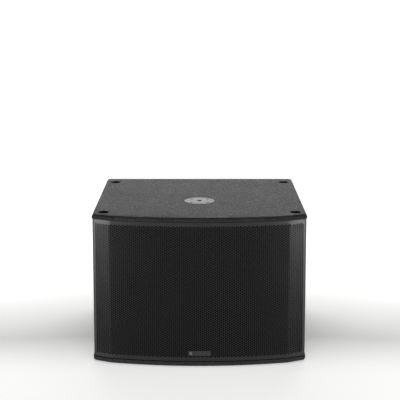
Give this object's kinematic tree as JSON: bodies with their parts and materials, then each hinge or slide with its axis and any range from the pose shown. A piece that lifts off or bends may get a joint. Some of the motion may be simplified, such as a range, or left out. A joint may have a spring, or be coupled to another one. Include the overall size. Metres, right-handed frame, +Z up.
{
  "type": "subwoofer cabinet",
  "caption": "Powered bass cabinet with a bowed wrap-round perforated grille, a threaded pole socket and stacking cups on top, recessed side handles and a rear amplifier module.",
  "frame": {"origin": "on the floor under the middle of the cabinet, level with the bottoms of the feet", "axes": "+X to the right seen from the front, +Y to the back, +Z up"},
  "size_m": [0.68, 0.6549, 0.484],
  "materials": {
    "cabinet_coating": "plywood under a rough sprayed black coating",
    "raw_ply": "bare birch plywood",
    "grille_powder_coat": "satin black powder coat on perforated steel",
    "black_screws": "blackened steel",
    "foam": "open-cell black foam",
    "badge_enamel": "dark satin enamel",
    "galvanised_steel": "dull zinc plate",
    "zinc_screws": "zinc plated",
    "black_moulding": "black moulded nylon",
    "rubber": "black rubber",
    "grip_bar": "black grip with a fine texture",
    "basket_paint": "black painted steel",
    "cone_paper": "treated black paper",
    "surround_cloth": "doped cloth",
    "coil_copper": "copper winding",
    "motor_steel": "zinc plated steel",
    "ferrite": "sintered ferrite",
    "terminal_plastic": "black moulded plastic",
    "cable_sheath": "black cable sheath",
    "amp_plate_paint": "black anodised aluminium",
    "amp_cover_steel": "galvanised sheet",
    "circuit_board": "green circuit laminate",
    "toroid_tape": "yellow winding tape",
    "capacitor_sleeve": "dark blue sleeve",
    "socket_plastic": "black moulded plastic",
    "latch_metal": "nickel plated tab",
    "knob_plastic": "black knob plastic",
    "button_plastic": "pale grey button",
    "lamp_lens": "clear green lens"
  },
  "bodies": {
    "cabinet": {"amp_cover": "amp_cover_steel", "amp_gasket": "rubber", "amp_heatsink": "amp_plate_paint", "amp_plate": "amp_plate_paint", "amp_screws": "black_screws", "back_panel": "cabinet_coating", "badge_bar": "badge_enamel", "baffle": "raw_ply", "bottom_panel": "cabinet_coating", "capacitors": "capacitor_sleeve", "control_bodies": "terminal_plastic", "cross_braces": "raw_ply", "driver_basket": "basket_paint", "driver_bolts": "black_screws", "driver_gasket": "rubber", "driver_terminals": "terminal_plastic", "grille": "grille_powder_coat", "grille_foam": "foam", "grille_screws": "black_screws", "handle_dish_left": "black_moulding", "handle_dish_right": "black_moulding", "handle_grip_left": "grip_bar", "handle_grip_right": "grip_bar", "handle_screws": "black_screws", "input_socket_left": "socket_plastic", "input_socket_right": "socket_plastic", "link_socket_left": "socket_plastic", "link_socket_right": "socket_plastic", "main_board": "circuit_board", "mains_inlet": "socket_plastic", "motor_back_plate": "motor_steel", "motor_front_plate": "motor_steel", "motor_magnet": "ferrite", "pole_backing_block": "raw_ply", "pole_plate": "galvanised_steel", "pole_screws": "zinc_screws", "port_partition_left": "raw_ply", "port_partition_right": "raw_ply", "power_toroid": "toroid_tape", "rubber_feet": "rubber", "side_panel_left": "cabinet_coating", "side_panel_right": "cabinet_coating", "socket_screws": "black_screws", "speaker_cable": "cable_sheath", "spider": "surround_cloth", "stack_screws": "black_screws", "stacking_cups": "black_moulding", "status_lamps": "lamp_lens", "surround": "surround_cloth", "switch_frame": "socket_plastic", "top_panel": "cabinet_coating"},
    "moving_cone": {"cone": "cone_paper", "dust_cap": "cone_paper", "voice_coil": "coil_copper"},
    "level_knob": {"level_knob": "knob_plastic"},
    "crossover_knob": {"crossover_knob": "knob_plastic"},
    "polarity_button": {"polarity_button": "button_plastic"},
    "power_rocker": {"power_rocker": "knob_plastic"},
    "latch_tab_left": {"latch_tab_left": "latch_metal"},
    "latch_tab_right": {"latch_tab_right": "latch_metal"}
  },
  "joints": [
    {"name": "cone_travel", "type": "slide", "parent": "cabinet", "child": "moving_cone", "axis": [0, 1, 0], "range_m": [-0.008, 0.008], "stiffness_N_per_m": 4000, "deforming": ["surround", "spider"]},
    {"name": "level_turn", "type": "hinge", "parent": "cabinet", "child": "level_knob", "pos_m": [0.01, 0.31, 0.262], "axis": [0, 1, 0], "range_deg": [-150, 150]},
    {"name": "crossover_turn", "type": "hinge", "parent": "cabinet", "child": "crossover_knob", "pos_m": [0.06, 0.31, 0.262], "axis": [0, 1, 0], "range_deg": [-150, 150]},
    {"name": "polarity_press", "type": "slide", "parent": "cabinet", "child": "polarity_button", "axis": [0, -1, 0], "range_m": [0, 0.002], "stiffness_N_per_m": 300, "springref_m": -0.001},
    {"name": "power_rock", "type": "hinge", "parent": "cabinet", "child": "power_rocker", "pos_m": [0.06, 0.306, 0.134], "axis": [1, 0, 0], "range_deg": [0, 16]},
    {"name": "left_latch_press", "type": "slide", "parent": "cabinet", "child": "latch_tab_left", "axis": [0, -1, 0], "range_m": [0, 0.0015], "stiffness_N_per_m": 300, "springref_m": -0.001},
    {"name": "right_latch_press", "type": "slide", "parent": "cabinet", "child": "latch_tab_right", "axis": [0, -1, 0], "range_m": [0, 0.0015], "stiffness_N_per_m": 300, "springref_m": -0.001}
  ]
}
